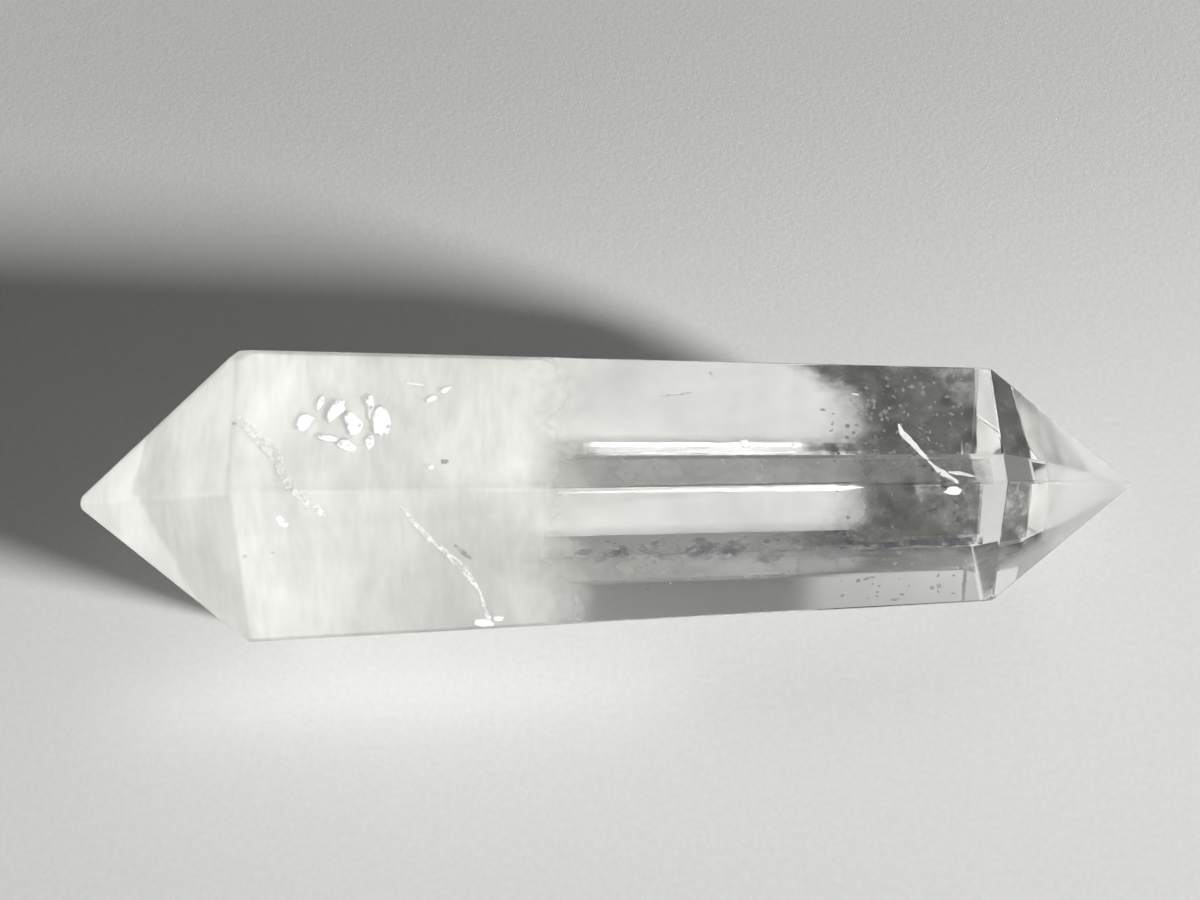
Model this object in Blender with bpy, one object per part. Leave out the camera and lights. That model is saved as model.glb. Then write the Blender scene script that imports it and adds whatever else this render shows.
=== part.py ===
"""Double terminated quartz point: one clear crystal, a tapered hexagonal prism with a six-sided point at each end.

The crystal lies along X on one of its prism faces, the large cloudy end towards -X and the small clear end
towards +X. The origin is below its middle, on the surface that it rests on. Units are metres.
"""

import math

import bmesh
import bpy
from mathutils import Vector

MM = 0.001

# Driving dimensions
SHARP_LENGTH = 65.0 * MM  # from tip to tip, before wear
MIDDLE_APOTHEM = 7.78 * MM  # from the axis to a prism face, halfway along
TAPER = 0.036  # what the apothem loses for each unit of X
LEFT_SHOULDER_X = -21.6 * MM  # where the prism ends and the cloudy point begins
RIGHT_SHOULDER_X = 22.8 * MM
LEFT_TIP_OFFSET = (-0.4 * MM, 0.15 * MM)  # sideways and up from the axis
RIGHT_TIP_OFFSET = (0.05 * MM, -0.35 * MM)

# The prism faces in turn round the axis
TOP, FRONT, LOWER_FRONT, REST, LOWER_BACK, BACK = range(6)
FACE_ANGLES = (90.1, 30.2, -30.0, -90.0, -150.0, 150.1)  # degrees from the front, -Y, up towards +Z

# How far each face stands proud of a regular hexagon. The lower back face lies further in than the others.
FACE_PROUD = (0.07 * MM, -0.07 * MM, -0.02 * MM, 0.0, -1.1 * MM, 0.02 * MM)

# How far each shoulder corner lies towards +X of the mean shoulder, in the order of the edges: an edge has the
# number of the face that it begins, going round from the top.
LEFT_STAGGER = (0.0, -0.05 * MM, 0.1 * MM, -0.35 * MM, 0.3 * MM, -0.2 * MM)
RIGHT_STAGGER = (0.15 * MM, 0.1 * MM, -0.25 * MM, 0.3 * MM, -0.3 * MM, 0.2 * MM)

# Wear: the cloudy tip is blunt, two shoulder corners are rubbed down, and every edge has a narrow worn bevel.
BLUNT_TIP_DEPTH = 0.42 * MM
BLUNT_TIP_DIRECTION = Vector((-1.0, 0.0, 0.15))
RUBBED_BACK_CORNER_DEPTH = 0.28 * MM
RUBBED_BACK_CORNER_DIRECTION = Vector((-0.32, 0.47, 0.82))
RUBBED_FRONT_CORNER_DEPTH = 0.12 * MM
RUBBED_FRONT_CORNER_DIRECTION = Vector((0.3, -0.95, 0.05))
EDGE_BEVEL = 0.11 * MM
EDGE_SEGMENTS = 2
CUT_TOLERANCE = 0.00001 * MM

QUARTZ_COLOUR = (0.80, 0.82, 0.85, 1.0)
QUARTZ_ALPHA = 0.5
QUARTZ_ROUGHNESS = 0.04
QUARTZ_IOR = 1.544


def clear_scene():
    """Removes whatever the scene holds."""
    for obj in list(bpy.data.objects):
        bpy.data.objects.remove(obj, do_unlink=True)


def apothem(x):
    """Distance from the axis to a prism face at this place along the crystal."""
    return MIDDLE_APOTHEM - TAPER * x


def face_direction(face):
    """Unit direction, in the YZ plane, that a prism face looks in."""
    angle = math.radians(FACE_ANGLES[face])
    return Vector((0.0, -math.cos(angle), math.sin(angle)))


def face_reach(face, x):
    """How far out a prism face lies along its own direction, from the line on the floor below the axis."""
    return apothem(x) * (1.0 + face_direction(face).z) + FACE_PROUD[face]


def edge_point(edge, x):
    """Point at x on the prism edge where a face meets the one before it."""
    before = (edge - 1) % len(FACE_ANGLES)
    a = face_direction(before)
    b = face_direction(edge)
    reach_a = face_reach(before, x)
    reach_b = face_reach(edge, x)
    spread = a.y * b.z - a.z * b.y
    y = (reach_a * b.z - reach_b * a.z) / spread
    z = (reach_b * a.y - reach_a * b.y) / spread
    return Vector((x, y, z))


def tip_point(x, offset):
    """A tip, which lies a little off the axis."""
    sideways, up = offset
    return Vector((x, sideways, apothem(x) + up))


def shoulder(mean_x, staggers):
    """The six corners where the prism meets a point."""
    return [edge_point(edge, mean_x + stagger) for edge, stagger in enumerate(staggers)]


def sharp_form():
    """The crystal with sharp edges: six prism faces, and six faces up to each tip."""
    form = bmesh.new()
    left = [form.verts.new(point) for point in shoulder(LEFT_SHOULDER_X, LEFT_STAGGER)]
    right = [form.verts.new(point) for point in shoulder(RIGHT_SHOULDER_X, RIGHT_STAGGER)]
    left_tip = form.verts.new(tip_point(-SHARP_LENGTH / 2, LEFT_TIP_OFFSET))
    right_tip = form.verts.new(tip_point(SHARP_LENGTH / 2, RIGHT_TIP_OFFSET))
    for here, corner in enumerate(left):
        following = (here + 1) % len(left)
        form.faces.new((corner, left[following], right[following], right[here]))
        form.faces.new((left[following], corner, left_tip))
        form.faces.new((right[here], right[following], right_tip))
    bmesh.ops.recalc_face_normals(form, faces=form.faces)
    return form


def rub_down(form, corner, outward, depth):
    """Cuts a corner off square to the outward direction, this deep below the corner."""
    outward = outward.normalized()
    cut = bmesh.ops.bisect_plane(
        form,
        geom=list(form.verts) + list(form.edges) + list(form.faces),
        plane_co=corner - outward * depth,
        plane_no=outward,
        clear_outer=True,
        dist=CUT_TOLERANCE,
    )
    rim = [part for part in cut["geom_cut"] if isinstance(part, bmesh.types.BMEdge)]
    bmesh.ops.contextual_create(form, geom=rim)


def wear_corners(form):
    """Blunts the cloudy tip and rubs two shoulder corners down."""
    cloudy_tip = tip_point(-SHARP_LENGTH / 2, LEFT_TIP_OFFSET)
    back_corner = edge_point(TOP, LEFT_SHOULDER_X + LEFT_STAGGER[TOP])
    front_corner = edge_point(LOWER_FRONT, RIGHT_SHOULDER_X + RIGHT_STAGGER[LOWER_FRONT])
    rub_down(form, cloudy_tip, BLUNT_TIP_DIRECTION, BLUNT_TIP_DEPTH)
    rub_down(form, back_corner, RUBBED_BACK_CORNER_DIRECTION, RUBBED_BACK_CORNER_DEPTH)
    rub_down(form, front_corner, RUBBED_FRONT_CORNER_DIRECTION, RUBBED_FRONT_CORNER_DEPTH)


def wear_edges(form):
    """Gives every edge its narrow bevel."""
    bmesh.ops.bevel(
        form,
        geom=list(form.edges),
        offset=EDGE_BEVEL,
        offset_type="OFFSET",
        segments=EDGE_SEGMENTS,
        profile=0.5,
        affect="EDGES",
        clamp_overlap=True,
    )
    bmesh.ops.recalc_face_normals(form, faces=form.faces)


def stand_over_origin(form):
    """Moves the worn crystal so that the middle of its box is over the origin and its lowest face is on the floor."""
    low = Vector([min(vert.co[axis] for vert in form.verts) for axis in range(3)])
    high = Vector([max(vert.co[axis] for vert in form.verts) for axis in range(3)])
    middle = (low + high) / 2
    bmesh.ops.translate(form, verts=form.verts, vec=Vector((-middle.x, -middle.y, -low.z)))


def quartz():
    """Clear quartz."""
    material = bpy.data.materials.new("quartz")
    material.use_nodes = True
    shader = material.node_tree.nodes["Principled BSDF"]
    shader.inputs["Base Color"].default_value = QUARTZ_COLOUR
    shader.inputs["Roughness"].default_value = QUARTZ_ROUGHNESS
    shader.inputs["Metallic"].default_value = 0.0
    shader.inputs["IOR"].default_value = QUARTZ_IOR
    shader.inputs["Transmission Weight"].default_value = 1.0
    shader.inputs["Alpha"].default_value = QUARTZ_ALPHA
    material.diffuse_color = QUARTZ_COLOUR
    return material


def build_quartz_point():
    """The whole crystal, one solid."""
    form = sharp_form()
    wear_corners(form)
    wear_edges(form)
    stand_over_origin(form)
    mesh = bpy.data.meshes.new("quartz_point")
    form.to_mesh(mesh)
    form.free()
    mesh.materials.append(quartz())
    crystal = bpy.data.objects.new("quartz_point", mesh)
    bpy.context.scene.collection.objects.link(crystal)


def main():
    clear_scene()
    build_quartz_point()


main()
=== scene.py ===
"""Looks of the double terminated quartz point: clear, with a milky half, veils, healed cracks and specks.

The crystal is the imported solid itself, with a clear material that turns milky towards the large end. What
shows inside it lies below its faces: a closed cloud in the milky half, and thin sheets and lenses.
"""

import math
import random

import bmesh
import bpy
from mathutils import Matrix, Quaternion, Vector, noise


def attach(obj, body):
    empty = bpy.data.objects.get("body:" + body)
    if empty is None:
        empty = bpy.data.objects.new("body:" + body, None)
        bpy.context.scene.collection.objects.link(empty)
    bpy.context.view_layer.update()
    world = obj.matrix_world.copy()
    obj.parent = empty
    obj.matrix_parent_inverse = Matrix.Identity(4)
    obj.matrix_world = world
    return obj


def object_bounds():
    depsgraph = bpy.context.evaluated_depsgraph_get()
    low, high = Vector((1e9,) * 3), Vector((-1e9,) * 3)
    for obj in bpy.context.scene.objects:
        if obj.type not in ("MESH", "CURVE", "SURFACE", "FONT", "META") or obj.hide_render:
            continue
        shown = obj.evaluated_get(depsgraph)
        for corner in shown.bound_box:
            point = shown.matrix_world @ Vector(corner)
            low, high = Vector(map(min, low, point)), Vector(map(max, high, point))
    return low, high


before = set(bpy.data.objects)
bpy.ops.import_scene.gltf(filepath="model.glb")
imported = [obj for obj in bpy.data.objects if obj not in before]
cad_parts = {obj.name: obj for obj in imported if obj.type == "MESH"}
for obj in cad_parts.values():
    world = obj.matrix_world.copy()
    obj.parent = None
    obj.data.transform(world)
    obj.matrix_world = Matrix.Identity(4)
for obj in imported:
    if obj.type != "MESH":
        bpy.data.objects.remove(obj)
CAD_LOW, CAD_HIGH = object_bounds()

MM = 0.001
SCENE = bpy.context.scene
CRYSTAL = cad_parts["quartz_point"]

# Camera, as the photograph was taken: looking down on the crystal, slightly rolled
CAMERA_ELEVATION = math.radians(58.8)
CAMERA_AZIMUTH = math.radians(0.99)
CAMERA_ROLL = math.radians(-1.07)
CAMERA_DISTANCE = 124.0 * MM
CAMERA_AIM = Vector((-0.65, 3.09, 8.0)) * MM
CAMERA_LENS = 60.0

# The prism faces in turn round the axis, and the way that each looks, in degrees from -Y up towards +Z
TOP, FRONT, LOWER_FRONT, REST, LOWER_BACK, BACK = range(6)
FACE_ANGLES = (90.0, 30.0, -30.0, -90.0, -150.0, 150.0)
FACE_ALIGNMENT = 0.98  # a pyramid face looks further away from these directions than this

CLOUD_EDGE_X = -3.2 * MM  # where the milky half gives way to the clear one
VEIL_EDGE_X = 13.8 * MM  # how far the veils under the back and the rest face reach


# Places on and in the crystal
def prism_plane(angle):
    """Point and outward direction of the prism face that looks this way."""
    radians = math.radians(angle)
    direction = Vector((0.0, -math.cos(radians), math.sin(radians)))
    facing = [face for face in CRYSTAL.data.polygons if face.normal.dot(direction) > FACE_ALIGNMENT]
    largest = max(facing, key=lambda face: face.area)
    return largest.center.copy(), largest.normal.copy()


PLANES = [prism_plane(angle) for angle in FACE_ANGLES]


def on_edge(face, other, x):
    """The point at x on the edge, without its wear, where two prism faces meet."""
    point_a, a = PLANES[face]
    point_b, b = PLANES[other]
    reach_a = a.dot(point_a) - a.x * x
    reach_b = b.dot(point_b) - b.x * x
    spread = a.y * b.z - a.z * b.y
    return Vector((x, (reach_a * b.z - reach_b * a.z) / spread, (a.y * reach_b - b.y * reach_a) / spread))


def inside(face, x, across, depth):
    """A point below a prism face. Across goes from 0, at the edge that begins the face, to 1."""
    begin = on_edge(face, (face - 1) % len(PLANES), x)
    end = on_edge(face, (face + 1) % len(PLANES), x)
    return begin.lerp(end, across) - PLANES[face][1] * depth


# Node helpers
def new_material(name):
    """A material with its Principled shader, as (material, tree, shader)."""
    material = bpy.data.materials.new(name)
    material.use_nodes = True
    tree = material.node_tree
    return material, tree, tree.nodes["Principled BSDF"]


def object_position(tree):
    """The place in the object, in metres, which is also its place in the frame."""
    return tree.nodes.new("ShaderNodeTexCoord").outputs["Object"]


def split(tree, vector):
    """The X, Y and Z of a vector."""
    node = tree.nodes.new("ShaderNodeSeparateXYZ")
    tree.links.new(vector, node.inputs[0])
    return node.outputs[:]


def put(tree, socket, value):
    """Sets a socket to a number, or links it to another socket."""
    if isinstance(value, bpy.types.NodeSocket):
        tree.links.new(value, socket)
    else:
        socket.default_value = value


def math_node(tree, operation, first, second=0.0, third=0.0):
    """The result of one operation on numbers or sockets."""
    node = tree.nodes.new("ShaderNodeMath")
    node.operation = operation
    for socket, value in zip(node.inputs, (first, second, third)):
        put(tree, socket, value)
    return node.outputs[0]


def product(tree, first, *others):
    """All the values multiplied."""
    for value in others:
        first = math_node(tree, "MULTIPLY", first, value)
    return first


def plus_scaled(tree, base, value, factor):
    """The base plus a value times a factor."""
    return math_node(tree, "MULTIPLY_ADD", value, factor, base)


def excess(tree, value, limit):
    """How far the value lies above the limit, or 0."""
    return math_node(tree, "MAXIMUM", math_node(tree, "SUBTRACT", value, limit), 0.0)


def ramp_between(tree, value, low, high, to_low=0.0, to_high=1.0):
    """Goes smoothly from to_low, at low, to to_high, at high."""
    node = tree.nodes.new("ShaderNodeMapRange")
    node.interpolation_type = "SMOOTHSTEP"
    put(tree, node.inputs["Value"], value)
    put(tree, node.inputs["From Min"], low)
    put(tree, node.inputs["From Max"], high)
    put(tree, node.inputs["To Min"], to_low)
    put(tree, node.inputs["To Max"], to_high)
    return node.outputs["Result"]


def noise_node(tree, vector, scale, detail=3.0, roughness=0.5, stretch=(1.0, 1.0, 1.0), distortion=0.0):
    """Noise from 0 to 1. The scale is in cells for each metre, and a stretch below 1 draws the cells out."""
    mapping = tree.nodes.new("ShaderNodeMapping")
    tree.links.new(vector, mapping.inputs["Vector"])
    mapping.inputs["Scale"].default_value = stretch
    node = tree.nodes.new("ShaderNodeTexNoise")
    tree.links.new(mapping.outputs[0], node.inputs["Vector"])
    node.inputs["Scale"].default_value = scale
    node.inputs["Detail"].default_value = detail
    node.inputs["Roughness"].default_value = roughness
    node.inputs["Distortion"].default_value = distortion
    return node.outputs["Fac"]


def blend_colours(tree, amount, low_colour, high_colour, low=0.3, high=0.7):
    """A colour between two, by how far the amount has gone from low to high."""
    node = tree.nodes.new("ShaderNodeValToRGB")
    node.color_ramp.elements[0].position = low
    node.color_ramp.elements[0].color = (*low_colour, 1.0)
    node.color_ramp.elements[1].position = high
    node.color_ramp.elements[1].color = (*high_colour, 1.0)
    tree.links.new(amount, node.inputs[0])
    return node.outputs[0]


# Camera
def make_camera():
    """The camera of the main view."""
    data = bpy.data.cameras.new("camera")
    data.lens = CAMERA_LENS
    data.clip_start = 1 * MM
    camera = bpy.data.objects.new("camera", data)
    forward = Vector((
        math.sin(CAMERA_AZIMUTH) * math.cos(CAMERA_ELEVATION),
        math.cos(CAMERA_AZIMUTH) * math.cos(CAMERA_ELEVATION),
        -math.sin(CAMERA_ELEVATION),
    ))
    camera.location = CAMERA_AIM - forward * CAMERA_DISTANCE
    camera.rotation_mode = "QUATERNION"
    camera.rotation_quaternion = Quaternion(forward, -CAMERA_ROLL) @ forward.to_track_quat("-Z", "Y")
    SCENE.collection.objects.link(camera)
    SCENE.camera = camera


# Floor
FLOOR_HALF_SIZE = 6.0
FLOOR_GAP = 0.04 * MM  # the crystal touches the floor at a few points only
FLOOR_DARK_GRAIN = (0.725, 0.735, 0.725)
FLOOR_PALE_GRAIN = (0.775, 0.785, 0.775)
FLOOR_GRAIN_SCALE = 2600.0
FLOOR_ROUGHNESS = 0.8
FLOOR_BUMP_STRENGTH = 0.35
FLOOR_BUMP_DEPTH = 0.06 * MM
FLOOR_BUMP_Y = (-5.0 * MM, 40.0 * MM)  # the bump grows to its full strength between these
FLOOR_BUMP_SHARE = (0.25, 1.0)

# Painted light and shade in the floor's colour: it is paler towards the key light, and darker far behind and
# close in front
LIGHT_SLOPE_X = 0.85
LIGHT_SLOPE_Y = -0.55
LIGHT_SLOPE_REACH = 60.0 * MM
LIGHT_SLOPE_SHADE = (0.88, 1.13)
FAR_SHADE_Y = (0.0, 48.0 * MM)
FAR_SHADE = (1.0, 0.77)
NEAR_SHADE_Y = (-14.0 * MM, -34.0 * MM)
NEAR_SHADE = (1.0, 0.95)


def painted_floor_light(tree, x, y):
    """How pale the floor is painted at each place, about 1: the fall of the key light and its shade, painted
    into the colour.
    """
    towards_light = plus_scaled(tree, product(tree, x, LIGHT_SLOPE_X), y, LIGHT_SLOPE_Y)
    slope = ramp_between(tree, towards_light, -LIGHT_SLOPE_REACH, LIGHT_SLOPE_REACH, *LIGHT_SLOPE_SHADE)
    far = ramp_between(tree, y, *FAR_SHADE_Y, *FAR_SHADE)
    near = ramp_between(tree, y, *NEAR_SHADE_Y, *NEAR_SHADE)
    return product(tree, slope, far, near)


def floor_material():
    """Pale matt card with a fine mottled grain, and with the fall of light and shade painted into its
    colour.
    """
    material, tree, shader = new_material("floor")
    place = object_position(tree)
    x, y, _ = split(tree, place)
    grain = noise_node(tree, place, FLOOR_GRAIN_SCALE, detail=4.0, roughness=0.65)
    painted_shading = tree.nodes.new("ShaderNodeVectorMath")
    painted_shading.operation = "SCALE"
    tree.links.new(blend_colours(tree, grain, FLOOR_DARK_GRAIN, FLOOR_PALE_GRAIN), painted_shading.inputs[0])
    # the painted light and shade scale the grain colour
    tree.links.new(painted_floor_light(tree, x, y), painted_shading.inputs["Scale"])
    tree.links.new(painted_shading.outputs[0], shader.inputs["Base Color"])
    shader.inputs["Roughness"].default_value = FLOOR_ROUGHNESS
    shader.inputs["Specular IOR Level"].default_value = 0.0
    bump = tree.nodes.new("ShaderNodeBump")
    bump.inputs["Strength"].default_value = FLOOR_BUMP_STRENGTH
    bump.inputs["Distance"].default_value = FLOOR_BUMP_DEPTH
    relief = product(tree, grain, ramp_between(tree, y, *FLOOR_BUMP_Y, *FLOOR_BUMP_SHARE))
    tree.links.new(relief, bump.inputs["Height"])
    tree.links.new(bump.outputs[0], shader.inputs["Normal"])
    return material


def make_floor():
    """The floor, a wide flat square just below the crystal."""
    far = FLOOR_HALF_SIZE
    form = bmesh.new()
    corners = [(-far, -far), (far, -far), (far, far), (-far, far)]
    form.faces.new([form.verts.new((x, y, -FLOOR_GAP)) for x, y in corners])
    mesh = bpy.data.meshes.new("floor")
    form.to_mesh(mesh)
    form.free()
    mesh.materials.append(floor_material())
    floor = bpy.data.objects.new("floor", mesh)
    SCENE.collection.objects.link(floor)
    return floor


# Room
ROOM_LOW = (0.30, 0.30, 0.296)  # its colour at table height
ROOM_HIGH = (0.095, 0.095, 0.093)  # and overhead
ROOM_HEIGHTS = (-0.05, 0.5)  # sines of the elevations between which it changes
FRONT_DARKENING = 0.7
FRONT_Y = (-0.1, -0.8)  # the front of the room, as a part of the direction
FRONT_Z = (0.6, 0.3)  # and how far up
DEGREE = math.radians(1.0)

# Bright parts of the room: two azimuths from the back, +Y, towards +X, two elevations, softness, all in
# degrees, and gain. They are a card and a wall high at the back, a card beside it and a wall at the left.
ROOM_PANELS = (
    ((-20.5, -4.5), (53.0, 59.3), 1.5, 16.0),
    ((7.0, 50.0), (50.0, 70.0), 3.0, 8.5),
    ((-52.0, -28.0), (56.5, 66.0), 3.0, 7.0),
    ((-134.0, -62.0), (-3.0, 15.0), 6.0, 1.7),
)


def world_panel(tree, azimuth, z, azimuths, elevations, soft):
    """1 inside a part of the world between two azimuths and two elevations, with soft edges."""
    low, high = elevations
    left, right = azimuths
    above = ramp_between(tree, z, math.sin((low - soft) * DEGREE), math.sin(low * DEGREE))
    below = ramp_between(tree, z, math.sin((high + soft) * DEGREE), math.sin(high * DEGREE))
    beyond_left = ramp_between(tree, azimuth, (left - soft) * DEGREE, left * DEGREE)
    before_right = ramp_between(tree, azimuth, (right + soft) * DEGREE, right * DEGREE)
    tall = product(tree, above, below)
    wide = product(tree, beyond_left, before_right)
    return product(tree, tall, wide)


def make_world():
    """A dim soft room, darker low in front, with its bright parts."""
    world = bpy.data.worlds.new("studio")
    SCENE.world = world
    world.use_nodes = True
    tree = world.node_tree
    background = tree.nodes["Background"]
    x, y, z = split(tree, tree.nodes.new("ShaderNodeTexCoord").outputs["Generated"])
    height = ramp_between(tree, z, *ROOM_HEIGHTS)
    tree.links.new(blend_colours(tree, height, ROOM_LOW, ROOM_HIGH, 0.0, 1.0), background.inputs["Color"])
    front = product(tree, ramp_between(tree, y, *FRONT_Y), ramp_between(tree, z, *FRONT_Z))
    strength = plus_scaled(tree, 1.0, front, -FRONT_DARKENING)
    azimuth = math_node(tree, "ARCTAN2", x, y)
    for azimuths, elevations, soft, gain in ROOM_PANELS:
        panel = world_panel(tree, azimuth, z, azimuths, elevations, soft)
        strength = plus_scaled(tree, strength, panel, gain)
    tree.links.new(strength, background.inputs["Strength"])


# Lights
LIGHT_COLOUR = (1.0, 0.995, 0.98)
LIGHT_AIM = Vector((0.0, 0.0, 8.0 * MM))

KEY_AZIMUTH = 61.5
KEY_ELEVATION = 17.5
KEY_ANGLE = 9.0
KEY_STRENGTH = 7.0
INNER_KEY_STRENGTH = 2.0  # less, for what the faces of the crystal reflect away
SPARKLE_STRENGTH = 1.1  # what the fracture flakes mirror more than the milk around them
# the sparkle also lights the thin bright sheet of painted reflection at the ridge
SPARKLING = ("bright_flakes", "painted_ridge_glint", "clear_cracks", "veil_streaks")

GLOW_AZIMUTH = -66.0
GLOW_ELEVATION = 9.0
GLOW_POWER = 0.48
UPPER_GLOW_AZIMUTH = 180.0
UPPER_GLOW_ELEVATION = 70.0
UPPER_GLOW_POWER = 0.28
GLOW_DISTANCE = 0.30
GLOW_SIZE = 0.16

SPILL_PLACE = Vector((-13.0, -9.3, 3.6)) * MM
SPILL_FROM = Vector((0.0, 0.45, 0.9))  # it comes from above and behind
SPILL_WIDTH = 37.0 * MM
SPILL_HEIGHT = 3.0 * MM
SPILL_POWER = 0.00015


def light_direction(azimuth, elevation):
    """Unit direction to a light, from two angles in degrees. Azimuth 0 is in front and 90 at +X."""
    a = math.radians(azimuth)
    e = math.radians(elevation)
    return Vector((math.sin(a) * math.cos(e), -math.cos(a) * math.cos(e), math.sin(e)))


def add_light(name, kind, towards, strength):
    """A light that shines from this direction. It isn't seen directly or through the crystal."""
    data = bpy.data.lights.new(name, kind)
    data.energy = strength
    data.color = LIGHT_COLOUR
    light = bpy.data.objects.new(name, data)
    light.rotation_mode = "QUATERNION"
    light.rotation_quaternion = towards.to_track_quat("Z", "Y")
    light.visible_camera = False
    light.visible_transmission = False
    SCENE.collection.objects.link(light)
    return light


def key_sun(name, strength):
    """Low light from far off, to the right of the front, so that it falls evenly on the whole floor."""
    light = add_light(name, "SUN", light_direction(KEY_AZIMUTH, KEY_ELEVATION), strength)
    light.data.angle = math.radians(KEY_ANGLE)
    return light


def soft_box(name, towards, width, height, power):
    """An oval soft light that no face mirrors."""
    light = add_light(name, "AREA", towards, power)
    light.data.shape = "ELLIPSE"
    light.data.size = width
    light.data.size_y = height
    light.visible_glossy = False
    return light


def glow_light(name, azimuth, elevation, power):
    """A soft light beside or above the crystal."""
    towards = light_direction(azimuth, elevation)
    light = soft_box(name, towards, GLOW_SIZE, GLOW_SIZE, power)
    light.location = LIGHT_AIM + towards * GLOW_DISTANCE
    return light


def light_group(name, listed, state):
    """A light-linking collection: only the listed objects with INCLUDE, all but them with EXCLUDE."""
    group = bpy.data.collections.new(name)
    for index, listed_object in enumerate(listed):
        group.objects.link(listed_object)
        group.collection_objects[index].light_linking.link_state = state
    return group


def light_only(light, pieces):
    """Makes a light reach only these pieces."""
    light.light_linking.receiver_collection = light_group("lit_by_" + light.name, pieces, "INCLUDE")


def let_into_crystal(light):
    """Makes a light pass through the crystal without a shadow of it."""
    light.light_linking.blocker_collection = light_group("lets_in_" + light.name, [CRYSTAL], "EXCLUDE")


def make_lights(inner_pieces):
    """The key light on the floor, the same one as it reaches into the crystal, a sparkle and two glows.

    The sparkle is the part of the key light that flakes and cracks mirror. The glows are the light that the
    clear half leads along the crystal into its milky half.
    """
    in_crystal = [CRYSTAL] + inner_pieces
    key = key_sun("key", KEY_STRENGTH)
    key.light_linking.receiver_collection = light_group("not_lit_by_key", in_crystal, "EXCLUDE")
    inner_key = key_sun("inner_key", INNER_KEY_STRENGTH)
    light_only(inner_key, in_crystal)
    let_into_crystal(inner_key)
    sparkle = key_sun("sparkle", SPARKLE_STRENGTH)
    light_only(sparkle, [piece for piece in inner_pieces if piece.name in SPARKLING])
    let_into_crystal(sparkle)
    glow = glow_light("glow", GLOW_AZIMUTH, GLOW_ELEVATION, GLOW_POWER)
    upper_glow = glow_light("upper_glow", UPPER_GLOW_AZIMUTH, UPPER_GLOW_ELEVATION, UPPER_GLOW_POWER)
    for light in (glow, upper_glow):
        light_only(light, in_crystal)
        let_into_crystal(light)


def make_spill(floor):
    """The light that the milky half throws on the floor in front of it."""
    spill = soft_box("spill", SPILL_FROM, SPILL_WIDTH, SPILL_HEIGHT, SPILL_POWER)
    spill.location = SPILL_PLACE
    light_only(spill, [floor])


# Quartz
QUARTZ_COLOUR = (0.96, 0.965, 0.952)  # its absorption
LOWER_TIP_PAINTED_SHADE = (0.82, 0.825, 0.81)  # painted shade: darker on the lower side of the small tip
QUARTZ_IOR = 1.544
QUARTZ_ROUGHNESS = 0.02

MILK_DENSITY = (0.12, 0.23)  # above 0.25 the denoiser leaves thin contour lines in the milk
MILK_FADE_X = (CLOUD_EDGE_X + 5.5 * MM, CLOUD_EDGE_X - 1.0 * MM)
MILK_EDGE_WANDER = 6.0 * MM
WANDER_SCALE = 180.0
WISP_SCALE = 90.0
WISP_STRETCH = (1.3, 0.6, 0.5)
WISP_LIMITS = (0.2, 0.8)

SMALL_TIP_X = 25.2 * MM  # where the small tip turns faintly milky
SMALL_TIP_FADE = 0.9 * MM
SMALL_TIP_MILK = 0.46
SMALL_TIP_SHOULDER_X = (22.6 * MM, 22.8 * MM)  # the milk of the small tip never reaches past its shoulder
SMALL_TIP_BEND_Y = -4.4 * MM  # in front of this it begins sooner
SMALL_TIP_BEND = 1.5
# where the painted shade on the small tip's lower side begins
PAINTED_TIP_SHADE_Y = (0.2 * MM, -0.4 * MM)

LOW_FRONT_Y = (-5.0 * MM, -6.6 * MM)
LOW_FRONT_X = (12.0 * MM, 21.5 * MM)
LOW_FRONT_MILK = 0.24
LOW_FRONT_WISPS = (0.5, 1.0)


def small_tip_milk(tree, x, y):
    """The faint milk of the small tip."""
    limit = plus_scaled(tree, x, excess(tree, SMALL_TIP_BEND_Y, y), SMALL_TIP_BEND)
    milk = ramp_between(tree, limit, SMALL_TIP_X, SMALL_TIP_X + SMALL_TIP_FADE, 0.0, SMALL_TIP_MILK)
    return product(tree, milk, ramp_between(tree, x, *SMALL_TIP_SHOULDER_X))


def low_front_milk(tree, x, y, wisps):
    """Faint wisps low in front, denser towards the small shoulder."""
    low = ramp_between(tree, y, *LOW_FRONT_Y)
    wispy = ramp_between(tree, wisps, *WISP_LIMITS, *LOW_FRONT_WISPS)
    return product(tree, low, wispy, ramp_between(tree, x, *LOW_FRONT_X, 0.0, LOW_FRONT_MILK))


def quartz_material():
    """Clear quartz that turns milky towards the large end, and is faintly milky in its small tip, with
    painted shade on the lower side of that tip.
    """
    material, tree, shader = new_material("quartz")
    place = object_position(tree)
    x, y, _ = split(tree, place)
    edge = plus_scaled(tree, x, noise_node(tree, place, WANDER_SCALE), MILK_EDGE_WANDER)
    cloud = ramp_between(tree, edge, *MILK_FADE_X)
    wisps = noise_node(tree, place, WISP_SCALE, roughness=0.6, stretch=WISP_STRETCH)
    milk = product(tree, cloud, ramp_between(tree, wisps, *WISP_LIMITS, *MILK_DENSITY))
    small_tip = small_tip_milk(tree, x, y)
    milk = math_node(tree, "ADD", milk, small_tip)
    milk = math_node(tree, "MAXIMUM", milk, low_front_milk(tree, x, y, wisps))
    tree.links.new(math_node(tree, "SUBTRACT", 1.0, milk), shader.inputs["Transmission Weight"])
    # painted shade, darker on the lower side of the small tip
    painted_tip_shade = product(tree, small_tip, ramp_between(tree, y, *PAINTED_TIP_SHADE_Y))
    colour = blend_colours(tree, painted_tip_shade, QUARTZ_COLOUR, LOWER_TIP_PAINTED_SHADE, 0.0, SMALL_TIP_MILK)
    tree.links.new(colour, shader.inputs["Base Color"])
    shader.inputs["Roughness"].default_value = QUARTZ_ROUGHNESS
    shader.inputs["IOR"].default_value = QUARTZ_IOR
    return material


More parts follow.
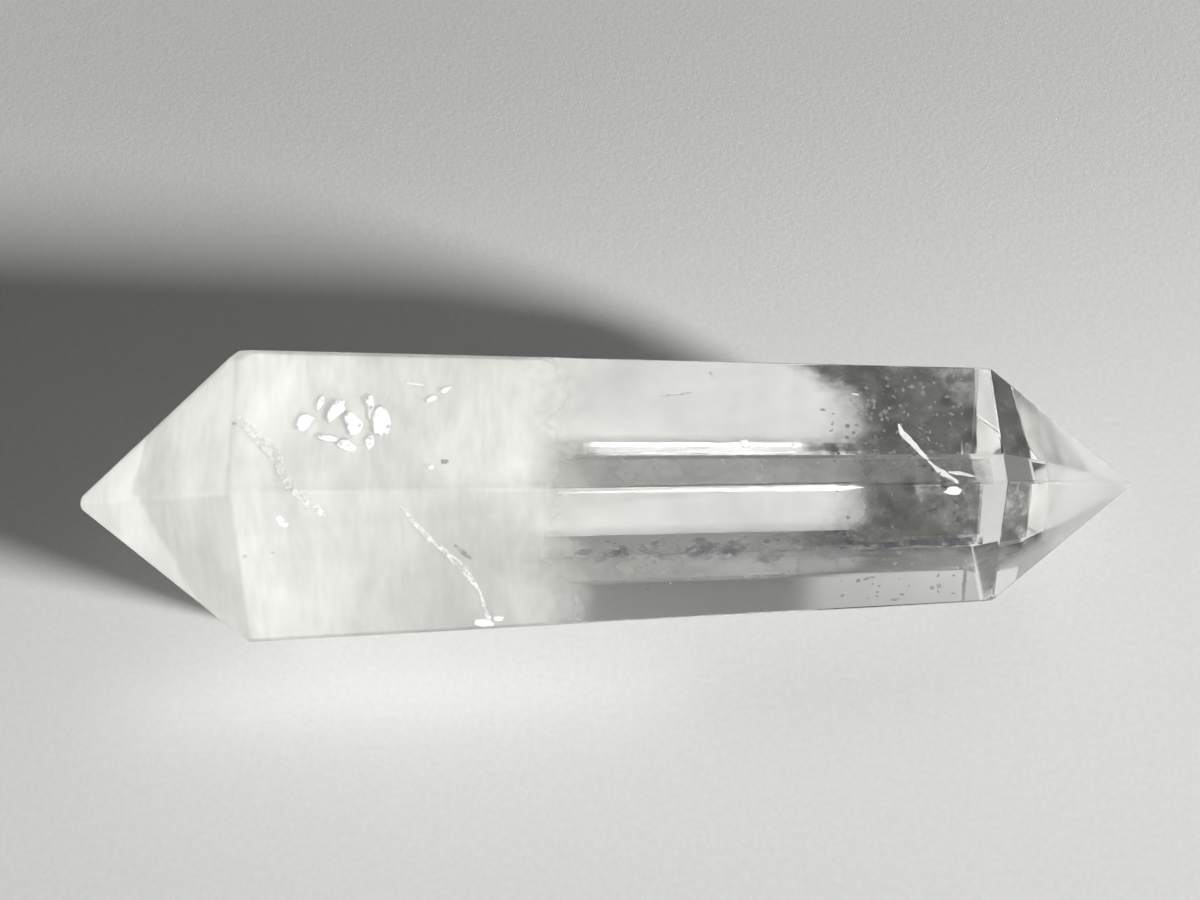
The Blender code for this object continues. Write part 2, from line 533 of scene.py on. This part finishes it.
def dress_crystal():
    """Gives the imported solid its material."""
    CRYSTAL.data.materials.clear()
    CRYSTAL.data.materials.append(quartz_material())


# Pieces inside the crystal
SHEET_THICKNESS = 0.03 * MM
WEAK_SPECULAR = 0.1  # milk and veils shine less than a surface in air


def add_piece(name, form, material, smooth=False):
    """Makes a piece that lies in the crystal from a bmesh, and frees the bmesh."""
    bmesh.ops.recalc_face_normals(form, faces=form.faces)
    mesh = bpy.data.meshes.new(name)
    form.to_mesh(mesh)
    form.free()
    mesh.materials.append(material)
    if smooth:
        mesh.shade_smooth()
    piece = bpy.data.objects.new(name, mesh)
    SCENE.collection.objects.link(piece)
    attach(piece, "root")
    return piece


def thin_grid(form, rows, outward):
    """Adds a closed thin sheet through the rows of points."""
    upper = [[form.verts.new(point + outward * SHEET_THICKNESS / 2) for point in row] for row in rows]
    lower = [[form.verts.new(point - outward * SHEET_THICKNESS / 2) for point in row] for row in rows]
    last_row = len(rows) - 1
    last_column = len(rows[0]) - 1
    for i in range(last_row):
        for j in range(last_column):
            form.faces.new((upper[i][j], upper[i + 1][j], upper[i + 1][j + 1], upper[i][j + 1]))
            form.faces.new((lower[i][j], lower[i][j + 1], lower[i + 1][j + 1], lower[i + 1][j]))
        for j in (0, last_column):
            form.faces.new((upper[i][j], lower[i][j], lower[i + 1][j], upper[i + 1][j]))
    for j in range(last_column):
        for i in (0, last_row):
            form.faces.new((upper[i][j], upper[i][j + 1], lower[i][j + 1], lower[i][j]))


# Veils
VEIL_EDGE_WANDER = 4.0 * MM
VEIL_WANDER_SCALE = 260.0
VEIL_START_FADE = 1.2 * MM
VEIL_END_FADE = (1.0 * MM, -2.2 * MM)
VEIL_MOTTLE_LIMITS = (0.3, 0.65)
VEIL_TONE_SHARE = 0.6  # the scale of its colours, as a part of the scale of its density
WAIST_PULL = 0.20 / MM  # how much sooner a veil ends away from its waist
VEIL_ROWS = 12
VEIL_COLUMNS = 90
VEIL_RIPPLE = 0.12 * MM
VEIL_RIPPLE_SCALE = 700.0
FAR_LEFT_X = -30.0 * MM  # a veil that begins here has no ragged beginning
# the mottle of the dark veils of painted shade
SHADE_VEIL_SCALE = 900.0


def veil_material(name, dark, pale, densities, limits_x, scale=320.0, waist_z=None):
    """A film of tiny bubbles: mottled, ragged where it begins and ends, and longest at its waist, if any."""
    material, tree, shader = new_material(name)
    place = object_position(tree)
    x, _, z = split(tree, place)
    begin_x, end_x = limits_x
    wander = noise_node(tree, place, VEIL_WANDER_SCALE, detail=4.0, roughness=0.65)
    edge = plus_scaled(tree, x, wander, VEIL_EDGE_WANDER)
    edge = math_node(tree, "SUBTRACT", edge, VEIL_EDGE_WANDER / 2)
    if waist_z is not None:
        off_waist = math_node(tree, "SUBTRACT", z, waist_z)
        edge = plus_scaled(tree, edge, product(tree, off_waist, off_waist), WAIST_PULL)
    reach = ramp_between(tree, edge, end_x + VEIL_END_FADE[0], end_x + VEIL_END_FADE[1])
    start = ramp_between(tree, edge, begin_x - VEIL_START_FADE, begin_x + VEIL_START_FADE)
    mottle = noise_node(tree, place, scale, detail=4.0, roughness=0.62, distortion=0.3)
    density = ramp_between(tree, mottle, *VEIL_MOTTLE_LIMITS, *densities)
    tree.links.new(product(tree, density, start, reach), shader.inputs["Alpha"])
    tone = noise_node(tree, place, scale * VEIL_TONE_SHARE, detail=2.0, roughness=0.6)
    tree.links.new(blend_colours(tree, tone, dark, pale), shader.inputs["Base Color"])
    shader.inputs["Roughness"].default_value = 0.5
    shader.inputs["Specular IOR Level"].default_value = WEAK_SPECULAR
    return material


def face_veil(face, range_x, range_across, depth, material):
    """A veil just below a prism face, between two values of X and two shares across the face."""
    form = bmesh.new()
    low_x, high_x = range_x
    begin, end = range_across
    outward = PLANES[face][1]
    rows = []
    for step in range(VEIL_ROWS):
        across = begin + (end - begin) * step / (VEIL_ROWS - 1)
        row = []
        for column in range(VEIL_COLUMNS + 1):
            point = inside(face, low_x + (high_x - low_x) * column / VEIL_COLUMNS, across, depth)
            ripple = noise.noise(point * VEIL_RIPPLE_SCALE) * VEIL_RIPPLE
            row.append(point - outward * abs(ripple))
        rows.append(row)
    thin_grid(form, rows, outward)
    return add_piece(material.name, form, material, smooth=True)


def make_white_veils():
    """A dense veil below the lower back face and a thin one below the rest face."""
    back_limits = (FAR_LEFT_X, VEIL_EDGE_X + 1.4 * MM)
    rest_limits = (FAR_LEFT_X, VEIL_EDGE_X + 1.0 * MM)
    back = veil_material(
        "back_veil", (0.86, 0.87, 0.85), (0.97, 0.97, 0.955), (0.93, 0.98), back_limits, waist_z=3.4 * MM
    )
    rest = veil_material("rest_veil", (0.46, 0.465, 0.45), (0.78, 0.78, 0.75), (0.22, 0.42), rest_limits)
    span = (-20.5 * MM, VEIL_EDGE_X + 4.0 * MM)
    return [
        face_veil(LOWER_BACK, span, (0.15, 0.97), 0.25 * MM, back),
        face_veil(REST, span, (0.68, 0.97), 0.2 * MM, rest),
    ]


def painted_shade_veil(name, dark, pale, densities, limits_x):
    """The material of a dark veil that paints shade, where the shaded floor shows through the clear half."""
    return veil_material(name, dark, pale, densities, limits_x, SHADE_VEIL_SCALE)


def make_painted_shade_veils():
    """Dark veils of painted shade below the lower back, the top and the front face, before the small
    shoulder.
    """
    back_limits = (VEIL_EDGE_X - 1.5 * MM, 24.0 * MM)
    top_limits = (VEIL_EDGE_X + 0.5 * MM, 23.0 * MM)
    front_limits = (15.5 * MM, 23.0 * MM)
    back = painted_shade_veil("shade_back_veil", (0.04, 0.045, 0.05), (0.26, 0.27, 0.25), (0.12, 0.66), back_limits)
    top = painted_shade_veil("shade_top_veil", (0.07, 0.075, 0.075), (0.28, 0.28, 0.25), (0.1, 0.4), top_limits)
    front = painted_shade_veil(
        "shade_front_veil", (0.05, 0.055, 0.055), (0.22, 0.225, 0.2), (0.1, 0.5), front_limits
    )
    return [
        face_veil(LOWER_BACK, (11.0 * MM, 22.6 * MM), (0.03, 0.97), 0.12 * MM, back),
        face_veil(TOP, (12.0 * MM, 22.0 * MM), (0.79, 0.99), 0.3 * MM, top),
        face_veil(FRONT, (14.5 * MM, 21.4 * MM), (0.04, 0.44), 0.3 * MM, front),
    ]


# Cloud
CLOUD_END_X = CLOUD_EDGE_X + 5.0 * MM
CLOUD_FADE_X = (CLOUD_EDGE_X + 6.6 * MM, CLOUD_EDGE_X + 1.8 * MM)
CLOUD_EDGE_WANDER = 9.0 * MM
CLOUD_LENGTH_SHARE = 0.993  # of the crystal's own form
CLOUD_WIDTH_SHARE = 0.975
CLOUD_WANDER_SCALE = 150.0
CLOUD_WISP_SCALE = 240.0
CLOUD_WISP_STRETCH = (1.5, 0.6, 0.6)
CLOUD_STROKE_SCALE = 2200.0
CLOUD_STROKE_STRETCH = (1.0, 0.22, 0.22)
CLOUD_NOISE_LIMITS = (0.25, 0.75)
# painted shade in front of the cloud, towards the clear half
CLOUD_FRONT_PAINTED_SHADE = 0.25
CLOUD_WHITEST = 0.99
CLOUD_BLUE_SHARE = 0.975
CLOUD_FRONT_X = CLOUD_EDGE_X - 4.8 * MM
CLOUD_FRONT_INSET = 0.5 * MM
CLOUD_FRONT_SWELL = 2.0 * MM
CLOUD_FRONT_RINGS = 14
CLOUD_FRONT_SPOKES = 48
CLOUD_FRONT_CORE = 0.02  # where its innermost ring is, as a share of the way out
CLOUD_FRONT_REACH = 0.95
SWELL_SCALE = 230.0
FINE_SWELL_SCALE = 900.0
FINE_SWELL_SHARE = 0.2

TIP_ZONE_X = -28.4 * MM  # where the painted light inside the large tip ends, near its upper ridge
TIP_ZONE_Y = -1.2 * MM  # the ridge itself
TIP_ZONE_SLANT_BEFORE = -0.68
TIP_ZONE_SLANT_BEHIND = -0.23
TIP_ZONE_WANDER = 0.9 * MM
TIP_ZONE_WANDER_SCALE = 420.0
TIP_ZONE_FADE_X = (TIP_ZONE_X + 0.65 * MM, TIP_ZONE_X + 0.30 * MM)
# how much painted light the zone inside the large tip adds
TIP_ZONE_GAIN = 0.16


def painted_light_zone(tree, place):
    """1 in the zone of painted light inside the large tip. Its limit slants away from the tip beside the
    ridge.
    """
    x, y, _ = split(tree, place)
    limit = plus_scaled(tree, x, excess(tree, TIP_ZONE_Y, y), TIP_ZONE_SLANT_BEFORE)
    limit = plus_scaled(tree, limit, excess(tree, y, TIP_ZONE_Y), TIP_ZONE_SLANT_BEHIND)
    wander = noise_node(tree, place, TIP_ZONE_WANDER_SCALE)
    limit = plus_scaled(tree, limit, wander, TIP_ZONE_WANDER)
    return ramp_between(tree, limit, *TIP_ZONE_FADE_X)


def cloud_tone(tree, place, x, y):
    """How pale the milk is: wispy, with painted light brightest in the large tip and painted shade in front
    towards the clear half.
    """
    wisps = noise_node(tree, place, CLOUD_WISP_SCALE, 4.0, 0.62, CLOUD_WISP_STRETCH, distortion=0.4)
    strokes = noise_node(tree, place, CLOUD_STROKE_SCALE, 3.0, 0.6, CLOUD_STROKE_STRETCH)
    wisp_tone = ramp_between(tree, wisps, *CLOUD_NOISE_LIMITS, 0.78, 1.0)
    stroke_tone = ramp_between(tree, strokes, *CLOUD_NOISE_LIMITS, 0.94, 1.04)
    # Painted light and shade along the cloud, for the light that spreads through the milk: paler in the
    # large tip, darker by the large shoulder, a little paler in the middle, and darker in front.
    tip_painted_light = ramp_between(tree, x, -28.5 * MM, -21.0 * MM, 0.97, 1.05)
    shoulder_tone = ramp_between(tree, x, -19.0 * MM, -12.0 * MM, 0.93, 0.85)
    middle_tone = ramp_between(tree, x, -11.0 * MM, -6.0 * MM, 0.98, 1.02)
    lengthways = ramp_between(tree, x, -20.0 * MM, -6.5 * MM, 0.4, 1.0)
    towards_front = ramp_between(tree, y, -2.5 * MM, -6.0 * MM)
    front_painted_shade = plus_scaled(tree, 1.0, product(tree, lengthways, towards_front), -CLOUD_FRONT_PAINTED_SHADE)
    tone = product(tree, wisp_tone, shoulder_tone, middle_tone, front_painted_shade, stroke_tone, tip_painted_light)
    tone = plus_scaled(tree, tone, painted_light_zone(tree, place), TIP_ZONE_GAIN)
    return math_node(tree, "MINIMUM", tone, CLOUD_WHITEST)


def cloud_material():
    """The milk itself, thinning out into the clear half."""
    material, tree, shader = new_material("milky_cloud")
    place = object_position(tree)
    x, y, _ = split(tree, place)
    wander = noise_node(tree, place, CLOUD_WANDER_SCALE, detail=4.0, roughness=0.55)
    edge = plus_scaled(tree, x, wander, CLOUD_EDGE_WANDER)
    tree.links.new(ramp_between(tree, edge, *CLOUD_FADE_X), shader.inputs["Alpha"])
    tone = cloud_tone(tree, place, x, y)
    colour = tree.nodes.new("ShaderNodeCombineColor")
    tree.links.new(tone, colour.inputs[0])
    tree.links.new(tone, colour.inputs[1])
    tree.links.new(product(tree, tone, CLOUD_BLUE_SHARE), colour.inputs[2])
    tree.links.new(colour.outputs[0], shader.inputs["Base Color"])
    shader.inputs["Roughness"].default_value = 0.6
    shader.inputs["Specular IOR Level"].default_value = WEAK_SPECULAR
    return material


def make_cloud():
    """The closed cloud in the milky half: the crystal's own form, drawn in a little and cut off square."""
    form = bmesh.new()
    form.from_mesh(CRYSTAL.data)
    bmesh.ops.remove_doubles(form, verts=form.verts, dist=0.001 * MM)
    cut = bmesh.ops.bisect_plane(
        form,
        geom=list(form.verts) + list(form.edges) + list(form.faces),
        plane_co=(CLOUD_END_X, 0.0, 0.0),
        plane_no=(1.0, 0.0, 0.0),
        clear_outer=True,
    )
    rim = [part for part in cut["geom_cut"] if isinstance(part, bmesh.types.BMEdge)]
    bmesh.ops.contextual_create(form, geom=rim)
    height = (CAD_LOW[2] + CAD_HIGH[2]) / 2
    for vert in form.verts:
        axis = Vector((vert.co.x * CLOUD_LENGTH_SHARE, 0.0, height))
        vert.co = axis + (vert.co - axis) * CLOUD_WIDTH_SHARE
        vert.co.x = axis.x
    return add_piece("milky_cloud", form, cloud_material())


def swell(point):
    """Moves a point of the cloud's end along the crystal, unevenly."""
    coarse = noise.noise(point * SWELL_SCALE + Vector((1.0, 0.0, 0.0)))
    point.x += coarse * CLOUD_FRONT_SWELL
    fine = noise.noise(point * FINE_SWELL_SCALE + Vector((1.0, 5.0, 0.0)))
    point.x += fine * CLOUD_FRONT_SWELL * FINE_SWELL_SHARE


def across_sheet(form):
    """Adds an uneven thin sheet across the whole crystal."""
    axis = Vector((CLOUD_FRONT_X, 0.0, (CAD_LOW[2] + CAD_HIGH[2]) / 2))
    rows = []
    for ring in range(CLOUD_FRONT_RINGS + 1):
        row = []
        for spoke in range(CLOUD_FRONT_SPOKES + 1):
            turn = (spoke % CLOUD_FRONT_SPOKES) / CLOUD_FRONT_SPOKES * len(PLANES)
            rim = inside(int(turn), CLOUD_FRONT_X, turn % 1.0, CLOUD_FRONT_INSET)
            point = axis.lerp(rim, CLOUD_FRONT_CORE + CLOUD_FRONT_REACH * ring / CLOUD_FRONT_RINGS)
            swell(point)
            row.append(point)
        rows.append(row)
    thin_grid(form, rows, Vector((1.0, 0.0, 0.0)))


def make_cloud_front():
    """The uneven end of the cloud in the middle of the crystal."""
    front, tree, shader = new_material("cloud_front")
    tone = noise_node(tree, object_position(tree), 300.0, detail=5.0, roughness=0.6)
    colour = blend_colours(tree, tone, (0.76, 0.765, 0.745), (0.88, 0.88, 0.86))
    tree.links.new(colour, shader.inputs["Base Color"])
    shader.inputs["Roughness"].default_value = 0.6
    shader.inputs["Specular IOR Level"].default_value = WEAK_SPECULAR
    form = bmesh.new()
    across_sheet(form)
    bmesh.ops.remove_doubles(form, verts=form.verts, dist=0.0005 * MM)
    return add_piece("cloud_front", form, front, smooth=True)


# Flaws, placed by prism face, X, share across the face and depth below it, in millimetres
FLAKE_TILT = (0.08, 0.03)  # bright flakes lean a little towards the key light
RIBBON_STEPS = 10
RIBBON_BEND = 0.06 * MM
RIBBON_BEND_SCALE = 1100.0
RIBBON_JITTER = 0.5
RIBBON_JITTER_SCALE = 2200.0
LUMP_WOBBLE = 0.55
LUMP_WOBBLE_SCALE = 1.6
LUMP_SEED_STEP = 5.3


def flaw_material(name, colour, roughness=0.35, variation=0.12, alpha=1.0, grain=1500.0, ragged=(0.35, 0.6)):
    """A flaw of one mottled colour. With an alpha below 1 it is ragged too, between these noise limits."""
    material, tree, shader = new_material(name)
    mottle = noise_node(tree, object_position(tree), grain, detail=4.0, roughness=0.6)
    dark = tuple(part * (1.0 - variation) for part in colour)
    pale = tuple(min(1.0, part * (1.0 + variation)) for part in colour)
    tree.links.new(blend_colours(tree, mottle, dark, pale), shader.inputs["Base Color"])
    shader.inputs["Roughness"].default_value = roughness
    if alpha < 1.0:
        tree.links.new(ramp_between(tree, mottle, *ragged, 0.0, alpha), shader.inputs["Alpha"])
    return material


def lump(form, centre, along, outward, length, width, seed, rounds):
    """Adds an uneven flat lens of these sizes, in metres."""
    along = (along - outward * along.dot(outward)).normalized()
    sideways = outward.cross(along)
    made = bmesh.ops.create_icosphere(form, subdivisions=rounds, radius=1.0)
    for vert in made["verts"]:
        unit = vert.co.copy()
        own_noise = Vector((seed * LUMP_SEED_STEP, 0.0, 0.0))
        wobble = 1.0 + LUMP_WOBBLE * noise.noise(unit * LUMP_WOBBLE_SCALE + own_noise)
        vert.co = (
            centre
            + along * unit.x * length / 2 * wobble
            + sideways * unit.y * width / 2 * wobble
            + outward * unit.z * SHEET_THICKNESS / 2
        )


def lump_below(form, face, x, across, depth, length, width, angle, seed, rounds=3, tilt=(0.0, 0.0)):
    """Adds a lens just below a prism face, turned by the angle, in degrees, from X towards -Y.

    The tilt leans its outward direction towards +X and towards -Y.
    """
    outward = (PLANES[face][1] + Vector((tilt[0], -tilt[1], 0.0))).normalized()
    lengthwise = Vector((1.0, 0.0, 0.0))
    lengthwise = (lengthwise - outward * lengthwise.dot(outward)).normalized()
    downhill = lengthwise.cross(outward)
    turn = math.radians(angle)
    along = lengthwise * math.cos(turn) + downhill * math.sin(turn)
    centre = inside(face, x * MM, across, depth * MM)
    lump(form, centre, along, outward, length * MM, width * MM, seed, rounds)


def ribbon(form, face, stations, seed):
    """Adds a ragged thin crack through stations of X, share across, depth and width."""
    outward = PLANES[face][1]
    rows = []
    for here, following in zip(stations, stations[1:]):
        for step in range(RIBBON_STEPS + (following is stations[-1])):
            share = step / RIBBON_STEPS
            x, across, depth, width = (a + (b - a) * share for a, b in zip(here, following))
            point = inside(face, x * MM, across, depth * MM)
            heading = inside(face, following[0] * MM, following[1], depth * MM)
            heading = heading - inside(face, here[0] * MM, here[1], depth * MM)
            sideways = outward.cross(heading).normalized()
            jitter = noise.noise(point * RIBBON_JITTER_SCALE + Vector((seed, 0.0, 0.0)))
            half = width * MM / 2 * (1.0 + RIBBON_JITTER * jitter)
            swing = noise.noise(point * RIBBON_BEND_SCALE + Vector((seed + 9.0, 0.0, 0.0)))
            bend = sideways * swing * RIBBON_BEND
            rows.append([point + bend + sideways * half, point + bend, point + bend - sideways * half])
    thin_grid(form, rows, outward)


def make_bright_flakes():
    """Bright fracture flakes in the milky half, each as X, share across, depth, length, width and angle."""
    form = bmesh.new()
    top_flakes = [
        (-17.6, 0.50, 0.12, 1.3, 0.7, -60.0),
        (-16.8, 0.37, 0.11, 0.9, 0.4, -70.0),
        (-15.9, 0.42, 0.11, 1.6, 0.75, -58.0),
        (-14.9, 0.52, 0.10, 1.4, 0.85, 75.0),
        (-13.9, 0.40, 0.10, 1.7, 0.5, 80.0),
        (-13.3, 0.50, 0.10, 1.9, 0.95, 84.0),
        (-16.2, 0.62, 0.14, 1.5, 0.4, 10.0),
        (-15.2, 0.67, 0.14, 1.0, 0.7, 20.0),
        (-13.9, 0.65, 0.14, 0.5, 0.9, 0.0),
        (-9.6, 0.26, 0.12, 0.7, 0.3, -35.0),
        (-10.4, 0.33, 0.14, 0.8, 0.3, -32.0),
        (-10.4, 0.83, 0.08, 0.32, 0.3, 0.0),
        (-11.4, 0.22, 0.14, 1.2, 0.14, 8.0),
        (7.68, 0.66, 0.12, 0.5, 0.46, 0.0),
        (10.54, 0.68, 0.12, 0.35, 0.35, 0.0),
    ]
    for seed, (x, across, depth, length, width, angle) in enumerate(top_flakes):
        lump_below(form, TOP, x, across, depth, length, width, angle, seed, tilt=FLAKE_TILT)
    lump_below(form, FRONT, -18.9, 0.20, 0.2, 0.95, 0.45, 60.0, 12)
    lump_below(form, FRONT, -7.9, 0.96, 0.15, 1.1, 0.5, 10.0, 13)
    lump_below(form, FRONT, -7.0, 0.93, 0.15, 0.6, 0.35, 0.0, 14)
    white = (0.98, 0.98, 0.98)
    material = flaw_material(
        "bright_flakes", white, roughness=0.25, variation=0.02, alpha=0.97, grain=1900.0, ragged=(0.26, 0.42)
    )
    return add_piece("bright_flakes", form, material, smooth=True)


def make_veil_streaks():
    """The curved veil near the large shoulder and the long crack across the milky half."""
    form = bmesh.new()
    shoulder_veil = [
        (-21.3, 0.48, 0.1, 0.3),
        (-20.2, 0.62, 0.1, 0.6),
        (-19.2, 0.74, 0.1, 0.75),
        (-18.3, 0.97, 0.12, 0.4),
    ]
    veil_end = [
        (-18.1, 0.0, 0.12, 0.35),
        (-17.2, 0.08, 0.1, 0.5),
        (-16.2, 0.18, 0.1, 0.2),
    ]
    long_crack = [
        (-12.1, 0.10, 0.08, 0.14),
        (-11.6, 0.2, 0.08, 0.26),
        (-10.6, 0.34, 0.08, 0.36),
        (-9.6, 0.46, 0.08, 0.24),
        (-8.9, 0.55, 0.1, 0.4),
        (-8.0, 0.72, 0.1, 0.2),
        (-7.5, 0.97, 0.1, 0.3),
    ]
    ribbon(form, TOP, shoulder_veil, 1.0)
    ribbon(form, FRONT, veil_end, 2.0)
    ribbon(form, FRONT, long_crack, 3.0)
    pale = (0.93, 0.935, 0.93)
    material = flaw_material(
        "veil_streaks", pale, roughness=0.4, variation=0.05, alpha=0.7, grain=2000.0, ragged=(0.36, 0.66)
    )
    return add_piece("veil_streaks", form, material)


def make_clear_cracks():
    """The white forked crack in the clear half, and the bright flake below its end."""
    form = bmesh.new()
    stem = [
        (16.85, 0.50, 0.10, 0.05),
        (17.0, 0.58, 0.10, 0.36),
        (17.6, 0.68, 0.12, 0.34),
        (18.3, 0.80, 0.14, 0.14),
    ]
    long_branch = [
        (18.3, 0.81, 0.14, 0.10),
        (18.8, 0.89, 0.16, 0.32),
        (19.4, 0.95, 0.18, 0.42),
        (19.9, 0.99, 0.20, 0.10),
    ]
    short_branch = [
        (19.4, 0.91, 0.18, 0.12),
        (20.1, 0.92, 0.16, 0.30),
        (20.9, 0.945, 0.14, 0.06),
    ]
    ribbon(form, TOP, stem, 4.0)
    ribbon(form, TOP, long_branch, 5.0)
    ribbon(form, TOP, short_branch, 6.0)
    lump_below(form, FRONT, 19.65, 0.07, 0.12, 0.9, 0.5, 5.0, 15)
    lump_below(form, TOP, 14.5, 0.25, 0.15, 0.5, 0.14, 8.0, 16, rounds=2)
    material = flaw_material("clear_cracks", (0.90, 0.90, 0.89), roughness=0.3, variation=0.1)
    return add_piece("clear_cracks", form, material)


def make_painted_ridge_glint():
    """The thin bright line just below the ridge, under the front face of the clear half: a painted
    reflection, as a thin bright sheet.
    """
    form = bmesh.new()
    line = [
        (-3.2, 0.034, 0.09, 0.05),
        (-1.0, 0.033, 0.09, 0.12),
        (4.0, 0.032, 0.09, 0.2),
        (9.0, 0.032, 0.09, 0.28),
        (13.0, 0.034, 0.09, 0.32),
        (14.4, 0.034, 0.09, 0.05),
    ]
    ribbon(form, FRONT, line, 8.0)
    material = flaw_material("painted_ridge_glint", (0.93, 0.93, 0.90), roughness=0.3, variation=0.06)
    return add_piece("painted_ridge_glint", form, material)


def make_dark_line():
    """The dark wavy line under the front face in the clear half."""
    form = bmesh.new()
    line = [
        (12.9, 0.43, 0.14, 0.1),
        (14.2, 0.48, 0.14, 0.3),
        (15.4, 0.50, 0.14, 0.4),
        (17.5, 0.485, 0.14, 0.4),
        (19.5, 0.495, 0.14, 0.5),
        (21.6, 0.49, 0.14, 0.4),
    ]
    ribbon(form, FRONT, line, 7.0)
    blue_black = (0.04, 0.045, 0.065)
    material = flaw_material("dark_line", blue_black, roughness=0.5, variation=0.35, alpha=0.8, grain=1300.0)
    return add_piece("dark_line", form, material)


def scatter_smudges(form, count, seed):
    """Adds a band of smudges along the middle of the front face in the clear half."""
    order = random.Random(seed)
    for index in range(count):
        x = order.uniform(-2.0, 14.0)
        across = order.gauss(0.485, 0.045)
        length = order.uniform(0.3, 1.5)
        width = length * order.uniform(0.2, 0.5)
        angle = order.gauss(0.0, 20.0)
        lump_below(form, FRONT, x, across, 0.14, length, width, angle, index)


def make_dark_smudges():
    """Dark smudges: the band, and single ones as face, X, share across, length, width and angle."""
    form = bmesh.new()
    scatter_smudges(form, 70, 23)
    single_ones = [
        (TOP, -9.6, 0.79, 0.5, 0.3, 0.0),
        (TOP, 3.4, 0.28, 1.0, 0.14, -2.0),
        (TOP, 4.3, 0.265, 0.9, 0.12, -12.0),
        (TOP, 6.0, 0.10, 0.4, 0.14, 70.0),
        (TOP, -21.6, 0.52, 0.25, 0.2, 0.0),
        (TOP, 18.9, 0.95, 1.6, 0.3, 20.0),
        (FRONT, -8.8, 0.44, 1.3, 0.25, 50.0),
        (FRONT, -21.2, 0.42, 0.25, 0.2, 0.0),
        (FRONT, -19.6, 0.40, 0.18, 0.12, 0.0),
    ]
    for face, x, across, length, width, angle in single_ones:
        lump_below(form, face, x, across, 0.12, length, width, angle, seed=x)
    grey = (0.20, 0.21, 0.225)
    material = flaw_material("dark_smudges", grey, roughness=0.5, variation=0.4, alpha=0.3, grain=1700.0)
    return add_piece("dark_smudges", form, material)


def make_specks(name, colour, spans, count, size, seed):
    """Small specks scattered at uneven depths below the faces, between the X limits given for each face."""
    order = random.Random(seed)
    form = bmesh.new()
    for index in range(count):
        face, low_x, high_x = order.choice(spans)
        x = order.uniform(low_x, high_x)
        across = order.uniform(0.04, 0.96)
        depth = order.uniform(0.1, 1.2)
        length = size * order.uniform(0.5, 1.5)
        width = length * order.uniform(0.35, 0.9)
        angle = order.uniform(0.0, 180.0)
        lump_below(form, face, x, across, depth, length, width, angle, index + seed, rounds=1)
    return add_piece(name, form, flaw_material(name, colour, roughness=0.5, variation=0.3))


def make_flaws():
    """Everything small inside the crystal."""
    clear_spans = [(TOP, 12.5, 21.0), (FRONT, 12.5, 21.0), (TOP, 14.0, 21.0)]
    milk_spans = [(TOP, -22.0, 12.0), (FRONT, -22.0, 12.0)]
    rest_spans = [(REST, -3.0, 21.0), (LOWER_BACK, 13.0, 21.0)]
    all_clear_spans = clear_spans + rest_spans
    return [
        make_bright_flakes(),
        make_veil_streaks(),
        make_clear_cracks(),
        make_painted_ridge_glint(),
        make_dark_line(),
        make_dark_smudges(),
        make_specks("pale_specks", (0.27, 0.275, 0.25), clear_spans, count=220, size=0.28, seed=3),
        make_specks("white_specks", (0.95, 0.95, 0.94), milk_spans, count=26, size=0.10, seed=5),
        make_specks("dark_specks", (0.10, 0.11, 0.12), rest_spans, count=34, size=0.12, seed=7),
        make_specks("amber_specks", (0.45, 0.32, 0.16), all_clear_spans, count=9, size=0.16, seed=11),
    ]


MAX_BOUNCES = 12


def set_view():
    """Plain view colours, and enough bounces for what lies in the crystal."""
    SCENE.view_settings.view_transform = "Standard"
    SCENE.cycles.max_bounces = MAX_BOUNCES
    SCENE.cycles.transmission_bounces = MAX_BOUNCES
    SCENE.cycles.transparent_max_bounces = MAX_BOUNCES
    SCENE.cycles.sample_clamp_indirect = 0.0
    SCENE.cycles.use_denoising = True


def main():
    """Builds the whole scene."""
    set_view()
    make_camera()
    floor = make_floor()
    make_world()
    dress_crystal()
    veils = make_white_veils() + make_painted_shade_veils()
    inner_pieces = veils + [make_cloud(), make_cloud_front()] + make_flaws()
    make_lights(inner_pieces)
    make_spill(floor)


main()
